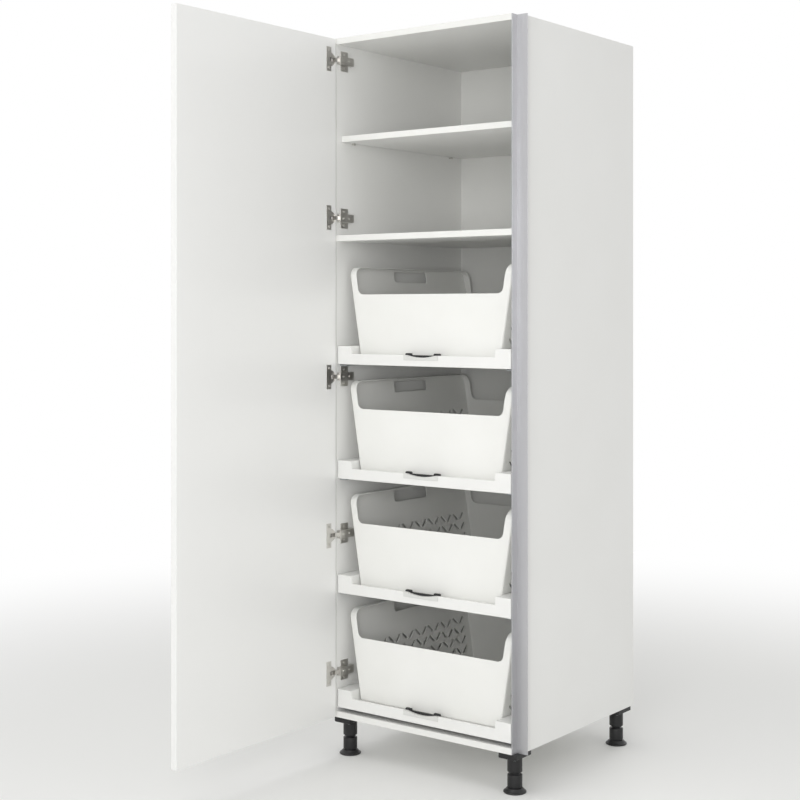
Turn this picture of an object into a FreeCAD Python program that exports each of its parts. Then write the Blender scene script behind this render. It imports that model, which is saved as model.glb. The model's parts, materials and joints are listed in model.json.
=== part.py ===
import FreeCAD, Part
import math
import os

# Tall utility cabinet with a hinged door, two shelves and four inner pull-out trays with laundry baskets.
# Millimetres. +X is to the right, +Y to the back, +Z up.
# The origin is on the floor under the middle of the carcass.
# The door stands open and the trays are pushed in.

V = FreeCAD.Vector

# How far a cutter reaches past what it cuts, and how closely an edge has to match a direction or a level
CUT_PAST = 1.0
ALONG_ANGLE = 2.5
LEVEL = 1e-6

# Flats round the small pins and pegs, and round the feet
PIN_FLATS = 12
FOOT_FLATS = 32

# Carcass
UNIT_W = 600.0
UNIT_D = 600.0
CARCASS_H = 1850.0
FOOT_H = 105.0
BOARD_T = 16.0
BACK_T = 8.0
REBATE_W = 8.0
FIXED_SHELF_TOP = 1313.0
LOOSE_SHELF_DROP = 265.0
LOOSE_SHELF_SETBACK = 21.0
LOOSE_SHELF_GAP = 1.0

# Dowels that join the fixed boards to the sides
DOWEL_R = 4.0
DOWEL_FLATS = 8
DOWEL_L = 30.0
DOWEL_IN_SIDE = 11.0
DOWEL_FIT = 0.1
DOWEL_END_GAP = 0.5
DOWEL_FROM_FRONT = 60.0
DOWEL_FROM_BACK = 80.0

# Pegs that carry the loose shelf
PEG_R = 2.5
PEG_IN_SIDE = 10.0
PEG_SHOE_L = 9.0
PEG_SHOE_W = 8.0
PEG_SHOE_H = 5.0
PEG_HOLE_DEPTH = 11.0
PEG_FROM_FRONT = 69.0
PEG_FROM_BACK = 69.0

# Vertical grip profile on the closing side
GRIP_DEPTH = 22.5
GRIP_WIDTH = 33.0
GRIP_T = 2.0

# Door and its concealed hinges
DOOR_T = 19.0
DOOR_GAP = 4.0
DOOR_EDGE_GAP = 1.5
DOOR_TOP_GAP = 2.0
PIVOT_FROM_EDGE = 8.0
PIVOT_DEPTH = 7.5
DOOR_REST_ANGLE = 90.0
HINGE_TOP_DROP = 60.0
HINGE_ABOVE_SHELF = 47.0
HINGE_LOWER_Z = (928.0, 498.0, 124.0)
CUP_R = 17.5
CUP_FROM_EDGE = 3.5
CUP_DEPTH = 12.5
CUP_WALL = 1.0
CUP_FIT = 0.1
CUP_WELL_L = 19.0
CUP_WELL_GAP = 0.3
FLANGE_T = 1.2
FLANGE_HALF_L = 33.0
FLANGE_HALF_W = 9.5
FLANGE_OFFSET = 9.5
FLANGE_SHOULDER = 18.0
FLANGE_NECK_HALF = 10.0
FLANGE_NECK_L = 16.0
PIN_R = 1.5
PIN_FIT = 0.05
KNUCKLE_R = 2.3
NOSE_T = 2.2
NOSE_HALF_W = 5.0
NOSE_REACH = 13.0
NOSE_DIP_ANGLE = 8.0
ARM_HALF_W = 11.0
ARM_L = 57.0
ARM_FROM_FRONT = 1.5
ARM_H = 10.5
ARM_WALL = 2.0
HINGE_PLATE_T = 2.5
HINGE_PLATE_FROM_FRONT = 16.0
HINGE_PLATE_W = 30.0
HINGE_PLATE_HALF_H = 27.0

# Pull-out trays, the lowest last; heights are above the carcass floor level
TRAY_BOTTOM_Z = (962.0, 650.5, 339.0, 27.5)
TRAY_SETBACK = 2.0
TRAY_BACK_GAP = 5.0
TRAY_SIDE_GAP = 3.0
TRAY_SIDE_W = 46.5
TRAY_SIDE_H = 49.5
TRAY_WALL = 2.5
TRAY_FLOOR_Z = 20.0
TRAY_FRONT_H = 29.0
TRAY_FRONT_T = 8.0
TRAY_EAR_SLOPE = 2.5
TRAY_BACK_T = 3.0
TRAY_BACK_H = 40.0

# Catch in the middle of each tray front: a plate with a finger dip, and a bar with ears behind it
CATCH_W = 112.0
CATCH_H = 13.0
CATCH_LAND = 10.0
CATCH_DIP = 6.0
CATCH_PROUD = 1.0
CATCH_FIT = 0.1
BAR_T = 6.0
BAR_EAR_W = 20.0
BAR_EAR_RISE = 5.0
BAR_EAR_R = 3.0

# Full-extension runners hidden in the tray sides
RAIL_FROM_FRONT = 14.0
RAIL_BACK_GAP = 38.0
RAIL_SHEET = 1.5
RAIL_WEB_DROP = 4.0
RAIL_FLANGE_H = 34.0
RAIL_AXIS_IN = 23.25
RAIL_HEAD_W = 14.5
RAIL_HEAD_Z = 14.0
RAIL_STAGE = 16.5
RAIL_RUN_GAP = 0.3
RAIL_SIDE_GAP = 0.8
RAIL_LIP_DROP = 5.3
RAIL_LIP_OPEN = 2.0

# Laundry baskets, heights above the tray's lower edge
BASKET_SEAT_GAP = 0.3
BASKET_TOP = 265.0
BASKET_LOW_RIM = 190.0
BASKET_FROM_TRAY_FRONT = 32.0
BASKET_BACK_GAP = 5.0
BASKET_BASE_GAP = 7.0
BASKET_SIDE_SLOPE = 0.167
BASKET_WALL = 2.5
BASKET_FLOOR_T = 3.0
BASKET_CORNER = 6.0
BASKET_RIM_W = 22.0
BASKET_CUT_R = 18.0
BASKET_SHOULDER_R = 28.0
HANDLE_L = 130.0
HANDLE_H = 30.0
HANDLE_R = 7.0
HANDLE_BELOW_TOP = 10.0

# Levelling feet
FOOT_FROM_SIDE = 32.0
FOOT_FROM_END = 40.0
FOOT_PLATE_W = 54.0
FOOT_PLATE_L = 76.0
FOOT_PLATE_T = 14.0
FOOT_STEM_R = 19.0
FOOT_SOCKET_L = 39.0
FOOT_NECK_L = 6.0
FOOT_SPINDLE_R = 13.7
FOOT_SPINDLE_FIT = 0.3
FOOT_SPINDLE_IN = 36.0
FOOT_BASE_R = 29.5
FOOT_BASE_H = 5.0
FOOT_CONE_H = 8.0

# Places worked out from the sizes above
FRONT_Y = -UNIT_D / 2
BACK_Y = UNIT_D / 2
SIDE_X = UNIT_W / 2
INNER_X = SIDE_X - BOARD_T
FLOOR_Z = FOOT_H
TOP_Z = FLOOR_Z + CARCASS_H
LOOSE_SHELF_TOP = CARCASS_H - LOOSE_SHELF_DROP
HINGE_Z = (CARCASS_H - HINGE_TOP_DROP, FIXED_SHELF_TOP + HINGE_ABOVE_SHELF, *HINGE_LOWER_Z)
ALONG = math.cos(math.radians(ALONG_ANGLE))
BOARD_D = UNIT_D - BACK_T
TRAY_X = INNER_X - TRAY_SIDE_GAP
TRAY_INNER_X = TRAY_X - TRAY_SIDE_W
TRAY_L = BOARD_D - TRAY_SETBACK - TRAY_BACK_GAP
RAIL_L = BOARD_D - RAIL_FROM_FRONT - RAIL_BACK_GAP
BASKET_L = TRAY_L - TRAY_BACK_T - BASKET_FROM_TRAY_FRONT - BASKET_BACK_GAP
BASKET_BASE_HALF_W = TRAY_INNER_X - BASKET_BASE_GAP
PIVOT_X = -SIDE_X + DOOR_EDGE_GAP + PIVOT_FROM_EDGE
PIVOT_Y = FRONT_Y - DOOR_GAP - PIVOT_DEPTH


def box(x0, x1, y0, y1, z0, z1):
    """Block between two corners."""
    return Part.makeBox(x1 - x0, y1 - y0, z1 - z0, V(x0, y0, z0))


def wire_face(points):
    """Flat face inside a closed outline of straight edges."""
    return Part.Face(Part.makePolygon(list(points) + [points[0]]))


def ring(radius, flats, u, v):
    """Corners of a round outline drawn with flats, about a centre."""
    turns = [2 * math.pi * (i + 0.5) / flats for i in range(flats)]
    return [(u + radius * math.cos(turn), v + radius * math.sin(turn)) for turn in turns]


def prism_along_y(outline_xz, y0, y1):
    """Outline in X and Z carried from y0 to y1."""
    face = wire_face([V(x, y0, z) for x, z in outline_xz])
    return face.extrude(V(0, y1 - y0, 0))


def prism_along_x(outline_yz, x0, x1):
    """Outline in Y and Z carried from x0 to x1."""
    face = wire_face([V(x0, y, z) for y, z in outline_yz])
    return face.extrude(V(x1 - x0, 0, 0))


def prism_along_z(outline_xy, z0, z1):
    """Outline in X and Y carried from z0 to z1."""
    face = wire_face([V(x, y, z0) for x, y in outline_xy])
    return face.extrude(V(0, 0, z1 - z0))


def mirrored(shape):
    """The same piece for the other side of the cabinet."""
    return shape.mirror(V(0, 0, 0), V(1, 0, 0))


def moved(shape, x, y, z):
    """Copy of a piece shifted by a vector."""
    copy = shape.copy()
    copy.translate(V(x, y, z))
    return copy


def save(name, solids):
    """Writes one node, a single solid or a group of equal ones."""
    shape = solids[0] if len(solids) == 1 else Part.makeCompound(solids)
    if not shape.isValid():
        raise ValueError(name + " is not a valid shape")
    shape.exportStep(os.path.join("parts", name + ".step"))


def fixed_board_tops():
    """Upper faces of the three boards that are dowelled between the sides."""
    return (FLOOR_Z + BOARD_T, FLOOR_Z + FIXED_SHELF_TOP, TOP_Z)


def dowel_pin(z, y, fit, extra):
    """Dowel with flutes as flats, or with a fit its hole, across the right side panel's inner face."""
    outline = ring(DOWEL_R + fit, DOWEL_FLATS, y, z)
    end = INNER_X + DOWEL_IN_SIDE + extra
    return prism_along_x(outline, end - DOWEL_L - 2 * extra, end)


def dowel_places():
    """Height and depth of each dowel on one side."""
    ys = (FRONT_Y + DOWEL_FROM_FRONT, BACK_Y - DOWEL_FROM_BACK)
    return [(top - BOARD_T / 2, y) for top in fixed_board_tops() for y in ys]


def dowel_holes():
    """All dowel holes on the right side."""
    return [dowel_pin(z, y, DOWEL_FIT, DOWEL_END_GAP) for z, y in dowel_places()]


def peg_ys():
    """Depths of the front and back shelf pegs."""
    return (FRONT_Y + PEG_FROM_FRONT, BACK_Y - PEG_FROM_BACK)


def peg_z():
    """Height of the pegs that carry the loose shelf, at their axis."""
    return FLOOR_Z + LOOSE_SHELF_TOP - BOARD_T - PEG_SHOE_H / 2


def peg_holes():
    """Holes for the pegs in the right side panel."""
    outlines = [ring(PEG_R, PIN_FLATS, y, peg_z()) for y in peg_ys()]
    return [prism_along_x(outline, INNER_X, INNER_X + PEG_HOLE_DEPTH) for outline in outlines]


def side_panel(front_y):
    """Right side panel with its back rebate, dowel holes and peg holes."""
    panel = box(INNER_X, SIDE_X, front_y, BACK_Y, FLOOR_Z, TOP_Z)
    rebate = box(INNER_X, INNER_X + REBATE_W, BACK_Y - BACK_T, BACK_Y, FLOOR_Z, TOP_Z)
    return panel.cut([rebate] + dowel_holes() + peg_holes())


def fixed_board(top):
    """Board dowelled between the sides, drilled at both ends."""
    board = box(-INNER_X, INNER_X, FRONT_Y, FRONT_Y + BOARD_D, top - BOARD_T, top)
    holes = []
    for z, y in dowel_places():
        if abs(z - (top - BOARD_T / 2)) < BOARD_T:
            hole = dowel_pin(z, y, DOWEL_FIT, DOWEL_END_GAP)
            holes += [hole, mirrored(hole)]
    return board.cut(holes)


def loose_shelf():
    """Shelf that lies on four pegs."""
    half = INNER_X - LOOSE_SHELF_GAP
    top = FLOOR_Z + LOOSE_SHELF_TOP
    front = FRONT_Y + LOOSE_SHELF_SETBACK
    back = FRONT_Y + BOARD_D - LOOSE_SHELF_GAP
    return box(-half, half, front, back, top - BOARD_T, top)


def back_panel():
    """Thin back, let into the rebates of both sides."""
    half = INNER_X + REBATE_W
    return box(-half, half, BACK_Y - BACK_T, BACK_Y, FLOOR_Z, TOP_Z)


def shelf_pegs():
    """Four pegs, each a round shank with a flat shoe under the shelf."""
    pegs = []
    shoe_x = INNER_X - PEG_SHOE_L
    for y in peg_ys():
        shank = prism_along_x(ring(PEG_R, PIN_FLATS, y, peg_z()), INNER_X, INNER_X + PEG_IN_SIDE)
        z0 = peg_z() - PEG_SHOE_H / 2
        shoe = box(shoe_x, INNER_X, y - PEG_SHOE_W / 2, y + PEG_SHOE_W / 2, z0, z0 + PEG_SHOE_H)
        peg = shoe.fuse(shank).removeSplitter()
        pegs += [peg, mirrored(peg)]
    return pegs


def grip_profile():
    """L-section that lines the finger recess on the closing side."""
    outline = [
        (INNER_X, FRONT_Y),
        (INNER_X + GRIP_T, FRONT_Y),
        (INNER_X + GRIP_T, FRONT_Y + GRIP_DEPTH),
        (INNER_X + GRIP_WIDTH, FRONT_Y + GRIP_DEPTH),
        (INNER_X + GRIP_WIDTH, FRONT_Y + GRIP_DEPTH + GRIP_T),
        (INNER_X, FRONT_Y + GRIP_DEPTH + GRIP_T),
    ]
    return prism_along_z(outline, FLOOR_Z, TOP_Z)


def open_door(shape):
    """Turns a piece drawn with the door shut to the door's stored angle."""
    turned = shape.copy()
    turned.rotate(V(PIVOT_X, PIVOT_Y, 0), V(0, 0, -1), DOOR_REST_ANGLE)
    return turned


def cup_centre():
    """Centre of a hinge cup at the door's inner face, with the door shut."""
    return -SIDE_X + DOOR_EDGE_GAP + CUP_FROM_EDGE + CUP_R, FRONT_Y - DOOR_GAP


def door_panel():
    """Plain slab with a blind bore for each hinge cup."""
    inner_y = FRONT_Y - DOOR_GAP
    z0, z1 = FLOOR_Z + DOOR_TOP_GAP, TOP_Z - DOOR_TOP_GAP
    half = SIDE_X - DOOR_EDGE_GAP
    slab = box(-half, half, inner_y - DOOR_T, inner_y, z0, z1)
    x, y = cup_centre()
    bores = [Part.makeCylinder(CUP_R, CUP_DEPTH, V(x, y, FLOOR_Z + z), V(0, -1, 0)) for z in HINGE_Z]
    return open_door(slab.cut(bores))


def hinge_cup(z):
    """Pressed cup with a waisted screw flange, open towards the cabinet."""
    x, y = cup_centre()
    outer_r = CUP_R - CUP_FIT
    body = Part.makeCylinder(outer_r, CUP_DEPTH - CUP_FIT, V(x, y, z), V(0, -1, 0))
    far, near = x + FLANGE_OFFSET + FLANGE_HALF_W, x + FLANGE_OFFSET - FLANGE_HALF_W
    half = [(far, FLANGE_HALF_L), (near, FLANGE_HALF_L), (near, FLANGE_SHOULDER),
            (x - FLANGE_NECK_L, FLANGE_NECK_HALF)]
    outline = [(u, z + v) for u, v in half] + [(u, z - v) for u, v in reversed(half)]
    flange = prism_along_y(outline, y, y + FLANGE_T)
    well_x0 = PIVOT_X - KNUCKLE_R - CUP_WELL_GAP
    well_y0 = y - CUP_DEPTH + CUP_FIT + CUP_WALL
    well_half = NOSE_HALF_W + CUP_WELL_GAP
    well = box(well_x0, well_x0 + CUP_WELL_L, well_y0, y + FLANGE_T, z - well_half, z + well_half)
    return open_door(body.fuse(flange).cut(well).removeSplitter())


def hinge_pin(z):
    """Pin across the cup's well, on the door's turning axis."""
    half = NOSE_HALF_W + CUP_WELL_GAP
    return prism_along_z(ring(PIN_R, PIN_FLATS, PIVOT_X, PIVOT_Y), z - half, z + half)


def hinge_arm(z):
    """Channel arm on its plate, with a bent nose that reaches into the cup."""
    plate_x = -INNER_X + HINGE_PLATE_T
    dip = math.radians(NOSE_DIP_ANGLE)
    along = V(math.cos(dip), -math.sin(dip), 0)
    across = V(math.sin(dip), math.cos(dip), 0)
    pivot = V(PIVOT_X, PIVOT_Y, 0)
    bend = pivot + along * NOSE_REACH
    half_t = NOSE_T / 2
    arm_y0 = FRONT_Y + ARM_FROM_FRONT
    nose = [
        pivot + across * half_t,
        pivot - across * half_t,
        bend - across * half_t + along * half_t,
        V(bend.x + half_t, arm_y0 + NOSE_T, 0),
        V(bend.x - half_t, arm_y0 + NOSE_T, 0),
        V(bend.x - half_t, bend.y + half_t, 0),
    ]
    nose_solid = prism_along_z([(p.x, p.y) for p in nose], z - NOSE_HALF_W, z + NOSE_HALF_W)
    knuckle = prism_along_z(ring(KNUCKLE_R, PIN_FLATS, PIVOT_X, PIVOT_Y), z - NOSE_HALF_W, z + NOSE_HALF_W)
    body = box(plate_x, plate_x + ARM_H, arm_y0, arm_y0 + ARM_L, z - ARM_HALF_W, z + ARM_HALF_W)
    hollow_half = ARM_HALF_W - ARM_WALL
    hollow = box(plate_x, plate_x + ARM_H - ARM_WALL, arm_y0 + ARM_WALL, arm_y0 + ARM_L + ARM_WALL,
                 z - hollow_half, z + hollow_half)
    eye_r = (PIN_R + PIN_FIT) / math.cos(math.pi / PIN_FLATS)
    eye_half = NOSE_HALF_W + CUT_PAST
    eye = prism_along_z(ring(eye_r, PIN_FLATS, PIVOT_X, PIVOT_Y), z - eye_half, z + eye_half)
    return body.cut(hollow).fuse([nose_solid, knuckle]).cut(eye).removeSplitter()


def hinge_plate(z):
    """Cross-shaped plate that carries the arm on the side panel."""
    x0, x1 = -INNER_X, -INNER_X + HINGE_PLATE_T
    y0 = FRONT_Y + HINGE_PLATE_FROM_FRONT
    wings = box(x0, x1, y0, y0 + HINGE_PLATE_W, z - HINGE_PLATE_HALF_H, z + HINGE_PLATE_HALF_H)
    arm_y0 = FRONT_Y + ARM_FROM_FRONT
    spine = box(x0, x1, arm_y0, arm_y0 + ARM_L, z - ARM_HALF_W, z + ARM_HALF_W)
    return wings.fuse(spine).removeSplitter()


def tray_body():
    """Shallow tray with hollow sides, a low front and raised corners, drawn with its front at y = 0."""
    x, inner, wall = TRAY_X, TRAY_INNER_X, TRAY_WALL
    top, under = TRAY_SIDE_H, TRAY_SIDE_H - TRAY_WALL
    floor, floor_under = TRAY_FLOOR_Z, TRAY_FLOOR_Z - TRAY_WALL
    half = [
        (inner, floor), (inner, top), (x, top), (x, 0), (x - wall, 0),
        (x - wall, under), (inner + wall, under), (inner + wall, floor_under),
    ]
    section = half + [(-px, pz) for px, pz in reversed(half)]
    body = prism_along_y(section, 0, TRAY_L)
    low, slope = TRAY_FRONT_H, TRAY_EAR_SLOPE
    front = [
        (-x, 0), (x, 0), (x, top), (inner, top), (inner - slope, low),
        (-inner + slope, low), (-inner, top), (-x, top),
    ]
    front_wall = prism_along_y(front, 0, TRAY_FRONT_T)
    back_wall = box(-inner - wall, inner + wall, TRAY_L - TRAY_BACK_T, TRAY_L, floor_under, TRAY_BACK_H)
    half_w = CATCH_W / 2 + CATCH_FIT
    pocket = box(-half_w, half_w, -CUT_PAST, TRAY_FRONT_T, low - CATCH_H - CATCH_FIT, low + CUT_PAST)
    return body.fuse([front_wall, back_wall]).cut(pocket).removeSplitter()


def tray_catch():
    """Plate let into the tray front, with a finger dip in its upper edge."""
    half, low, top = CATCH_W / 2, TRAY_FRONT_H - CATCH_H, TRAY_FRONT_H
    dip_half = half - CATCH_LAND
    start, middle, end = V(dip_half, 0, top), V(0, 0, top - CATCH_DIP), V(-dip_half, 0, top)
    corners = [end, V(-half, 0, top), V(-half, 0, low), V(half, 0, low), V(half, 0, top), start]
    edges = [Part.makeLine(a, b) for a, b in zip(corners, corners[1:])]
    face = Part.Face(Part.Wire(edges + [Part.Arc(start, middle, end).toShape()]))
    return moved(face.extrude(V(0, TRAY_FRONT_T + CATCH_PROUD, 0)), 0, -CATCH_PROUD, 0)


def catch_bar():
    """Dark bar behind the catch plate, with a rounded ear at each end."""
    half, base, top = CATCH_W / 2, TRAY_FLOOR_Z, TRAY_FRONT_H
    y0, y1 = TRAY_FRONT_T, TRAY_FRONT_T + BAR_T
    bar = box(-half, half, y0, y1, base, top)
    ear = box(half - BAR_EAR_W, half, y0, y1, base, top + BAR_EAR_RISE)
    crown = [e for e in ear.Edges if abs(e.tangentAt(e.FirstParameter).y) > ALONG
             and e.CenterOfMass.z > top]
    ear = ear.makeFillet(BAR_EAR_R, crown)
    return bar.fuse([ear, mirrored(ear)]).removeSplitter()


def runner_channel(base, roof, wall_top):
    """Half outline of a rail's lower channel, which wraps the head of the rail below it."""
    reach = RAIL_HEAD_W / 2 + RAIL_SIDE_GAP
    lip = RAIL_SHEET / 2 + RAIL_LIP_OPEN
    outer = reach + RAIL_SHEET
    return [(lip, base), (outer, base), (outer, wall_top)], [(reach, roof), (reach, base + RAIL_SHEET),
                                                             (lip, base + RAIL_SHEET)]


def rail_along_tray(outline, y0):
    """Rail section, given from the runner's axis, as a left and a right rail."""
    axis_x = INNER_X - RAIL_AXIS_IN
    right = prism_along_y([(axis_x - u, z) for u, z in outline], y0, y0 + RAIL_L)
    return [mirrored(right), right]


def cabinet_rails():
    """Fixed rails: a screwed flange, a web under the tray side and an upright with a head."""
    half_web, half_head = RAIL_SHEET / 2, RAIL_HEAD_W / 2
    wall = -RAIL_AXIS_IN
    drop, sheet, head = -RAIL_WEB_DROP, RAIL_SHEET, RAIL_HEAD_Z
    outline = [
        (wall, drop), (half_web, drop), (half_web, head - sheet), (half_head, head - sheet),
        (half_head, head), (-half_head, head), (-half_head, head - sheet), (-half_web, head - sheet),
        (-half_web, drop + sheet), (wall + sheet, drop + sheet),
        (wall + sheet, drop + RAIL_FLANGE_H), (wall, drop + RAIL_FLANGE_H),
    ]
    return rail_along_tray(outline, RAIL_FROM_FRONT)


def middle_rails():
    """Sliding rails between cabinet and tray: a channel below and a head above."""
    half_web, half_head, sheet = RAIL_SHEET / 2, RAIL_HEAD_W / 2, RAIL_SHEET
    roof = RAIL_HEAD_Z + RAIL_RUN_GAP
    head = RAIL_HEAD_Z + RAIL_STAGE
    outer, inner = runner_channel(RAIL_HEAD_Z - RAIL_LIP_DROP, roof, roof + sheet)
    upper = [(half_web, roof + sheet), (half_web, head - sheet), (half_head, head - sheet), (half_head, head)]
    right = outer + upper
    left_side = [(-u, z) for u, z in reversed(right)]
    below = [(-u, z) for u, z in reversed(inner)] + inner
    return rail_along_tray(right + left_side + below, RAIL_FROM_FRONT)


def tray_rails():
    """Rails fixed under the tray sides: a channel with walls up to the tray."""
    sheet = RAIL_SHEET
    reach = RAIL_HEAD_W / 2 + RAIL_SIDE_GAP
    roof = RAIL_HEAD_Z + RAIL_STAGE + RAIL_RUN_GAP
    seat = TRAY_SIDE_H - TRAY_WALL
    outer, inner = runner_channel(RAIL_HEAD_Z + RAIL_STAGE - RAIL_LIP_DROP, roof, seat)
    right = outer + [(reach, seat), (reach, roof + sheet)]
    left_side = [(-u, z) for u, z in reversed(right)]
    below = [(-u, z) for u, z in reversed(inner)] + inner
    return rail_along_tray(right + left_side + below, RAIL_FROM_FRONT)


def basket_half_width(z):
    """Outer half width of a basket at a height above its base."""
    return BASKET_BASE_HALF_W + BASKET_SIDE_SLOPE * z


def basket_block(base, height, inset):
    """Block with sloped sides, upright ends and bevelled corners, drawn in by the wall."""
    low, high = basket_half_width(base) - inset, basket_half_width(height) - inset
    outline = [(-low, base), (low, base), (high, height), (-high, height)]
    block = prism_along_y(outline, inset, BASKET_L - inset)
    corners = [e for e in block.Edges if e.tangentAt(e.FirstParameter).z ** 2 > 0.5]
    return block.makeChamfer(BASKET_CORNER - inset / 2, corners)


def basket_height():
    """Height of a basket from its base to its top."""
    return BASKET_TOP - TRAY_FLOOR_Z - BASKET_SEAT_GAP


def basket_shoulders(inset):
    """Side view of the basket, with round upper corners, wider than the basket and drawn in by the wall."""
    top = basket_height() - inset
    reach = basket_half_width(basket_height()) + CUT_PAST
    block = box(-reach, reach, inset, BASKET_L - inset, 0, top)
    edges = [e for e in block.Edges if abs(e.CenterOfMass.z - top) < LEVEL
             and abs(e.tangentAt(e.FirstParameter).x) > ALONG]
    return block.makeFillet(BASKET_SHOULDER_R - inset, edges)


def basket_end_cut():
    """Mouth of the basket between its rims, low in the front and back walls, with round lower corners."""
    low = BASKET_LOW_RIM - TRAY_FLOOR_Z - BASKET_SEAT_GAP
    high = basket_height() + CUT_PAST
    low_half = basket_half_width(low) - BASKET_RIM_W
    high_half = basket_half_width(high) - BASKET_RIM_W
    outline = [(-low_half, low), (low_half, low), (high_half, high), (-high_half, high)]
    cutter = prism_along_y(outline, -CUT_PAST, BASKET_L + CUT_PAST)
    edges = [e for e in cutter.Edges if abs(e.CenterOfMass.z - low) < LEVEL
             and abs(e.tangentAt(e.FirstParameter).y) > ALONG]
    return cutter.makeFillet(BASKET_CUT_R, edges)


def handle_cut():
    """Round-cornered hand hole through both side walls."""
    top = basket_height() - HANDLE_BELOW_TOP
    reach = basket_half_width(basket_height()) + CUT_PAST
    y0 = (BASKET_L - HANDLE_L) / 2
    block = box(-reach, reach, y0, y0 + HANDLE_L, top - HANDLE_H, top)
    edges = [e for e in block.Edges if abs(e.tangentAt(e.FirstParameter).x) > ALONG]
    return block.makeFillet(HANDLE_R, edges)


def basket():
    """Moulded laundry basket, drawn with its base at z = 0 and its front at y = 0.

    A turned-in rim runs up each front corner, back along the top of the side wall and down the back corner.
    """
    height = basket_height()
    outer = basket_block(0, height, 0).common(basket_shoulders(0))
    inner = basket_block(BASKET_FLOOR_T, height, BASKET_WALL).common(basket_shoulders(BASKET_WALL))
    return outer.cut([inner, basket_end_cut(), handle_cut()])


def foot_places():
    """Axis of each foot: front left, front right, back left, back right."""
    x, y = SIDE_X - FOOT_FROM_SIDE, UNIT_D / 2 - FOOT_FROM_END
    return [(-x, -y), (x, -y), (-x, y), (x, y)]


def foot_socket(x, y):
    """Screwed plate with the tube that takes the levelling spindle."""
    plate_z = FOOT_H - FOOT_PLATE_T
    plate = box(x - FOOT_PLATE_W / 2, x + FOOT_PLATE_W / 2, y - FOOT_PLATE_L / 2, y + FOOT_PLATE_L / 2,
                plate_z, FOOT_H)
    tube_z = plate_z - FOOT_SOCKET_L
    tube = prism_along_z(ring(FOOT_STEM_R, FOOT_FLATS, x, y), tube_z, plate_z)
    bore_r = (FOOT_SPINDLE_R + FOOT_SPINDLE_FIT) / math.cos(math.pi / FOOT_FLATS)
    bore = prism_along_z(ring(bore_r, FOOT_FLATS, x, y), tube_z, plate_z + FOOT_NECK_L)
    return plate.fuse(tube).cut(bore).removeSplitter()


def foot_adjuster(x, y):
    """Levelling foot as a stack of rings: a flared base, a stem and a spindle that goes into the socket."""
    stem_top = FOOT_H - FOOT_PLATE_T - FOOT_SOCKET_L - FOOT_NECK_L
    spindle_top = stem_top + FOOT_NECK_L + FOOT_SPINDLE_IN
    levels = [
        (FOOT_BASE_R, 0), (FOOT_BASE_R, FOOT_BASE_H), (FOOT_STEM_R, FOOT_BASE_H + FOOT_CONE_H),
        (FOOT_STEM_R, stem_top), (FOOT_SPINDLE_R, stem_top), (FOOT_SPINDLE_R, spindle_top),
    ]
    rings = [[V(u, v, height) for u, v in ring(radius, FOOT_FLATS, x, y)] for radius, height in levels]
    faces = [wire_face(rings[0]), wire_face(rings[-1])]
    for low, high in zip(rings, rings[1:]):
        faces += [wire_face([low[i - 1], low[i], high[i], high[i - 1]]) for i in range(FOOT_FLATS)]
    return Part.Solid(Part.Shell(faces)).removeSplitter()


def build_carcass():
    """Boards, back, grip profile and what joins them."""
    bottom, shelf, top = fixed_board_tops()
    save("left_side_panel", [mirrored(side_panel(FRONT_Y))])
    save("right_side_panel", [side_panel(FRONT_Y + GRIP_DEPTH + GRIP_T)])
    save("bottom_panel", [fixed_board(bottom)])
    save("fixed_shelf", [fixed_board(shelf)])
    save("top_panel", [fixed_board(top)])
    save("adjustable_shelf", [loose_shelf()])
    save("back_panel", [back_panel()])
    save("shelf_pegs", shelf_pegs())
    save("grip_profile", [grip_profile()])
    dowels = [dowel_pin(z, y, 0, 0) for z, y in dowel_places()]
    save("dowels", dowels + [mirrored(d) for d in dowels])


def build_door():
    """Door panel and its five hinges."""
    heights = [FLOOR_Z + z for z in HINGE_Z]
    save("door_panel", [door_panel()])
    save("hinge_cups", [hinge_cup(z) for z in heights])
    save("hinge_pins", [hinge_pin(z) for z in heights])
    save("hinge_arms", [hinge_arm(z) for z in heights])
    save("hinge_plates", [hinge_plate(z) for z in heights])


def build_trays():
    """Four trays with their runners, catches and baskets, all pushed in."""
    tray, catch, bar, laundry = tray_body(), tray_catch(), catch_bar(), basket()
    fixed, middle, sliding = cabinet_rails(), middle_rails(), tray_rails()
    y = FRONT_Y + TRAY_SETBACK
    for number, height in enumerate(TRAY_BOTTOM_Z, start=1):
        z = FLOOR_Z + height
        save("runner_cabinet_rails_%d" % number, [moved(rail, 0, FRONT_Y, z) for rail in fixed])
        save("runner_middle_rails_%d" % number, [moved(rail, 0, FRONT_Y, z) for rail in middle])
        save("runner_tray_rails_%d" % number, [moved(rail, 0, FRONT_Y, z) for rail in sliding])
        save("tray_%d" % number, [moved(tray, 0, y, z)])
        save("tray_catch_%d" % number, [moved(catch, 0, y, z)])
        save("catch_bar_%d" % number, [moved(bar, 0, y, z)])
        seat = z + TRAY_FLOOR_Z + BASKET_SEAT_GAP
        save("basket_%d" % number, [moved(laundry, 0, y + BASKET_FROM_TRAY_FRONT, seat)])


def build_feet():
    """Four sockets under the carcass and their levelling feet."""
    save("foot_sockets", [foot_socket(x, y) for x, y in foot_places()])
    for number, (x, y) in enumerate(foot_places(), start=1):
        save("foot_adjuster_%d" % number, [foot_adjuster(x, y)])


os.makedirs("parts", exist_ok=True)
build_carcass()
build_door()
build_trays()
build_feet()
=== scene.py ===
"""Looks of a tall utility cabinet with a hinged door, shelves and four pull-out trays with laundry baskets.

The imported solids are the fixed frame. Boards, door, fittings and trays are copies of them with eased edges,
and the baskets, feet, grip strip and screws are surfaces worked out here. Lengths are in metres unless a
name ends in _mm. Fields and arguments give angles in degrees, and the constants named _ANGLE are in radians.
"""

import json
import logging
import math
from dataclasses import dataclass
from enum import Enum
from typing import Any, Sequence

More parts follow.
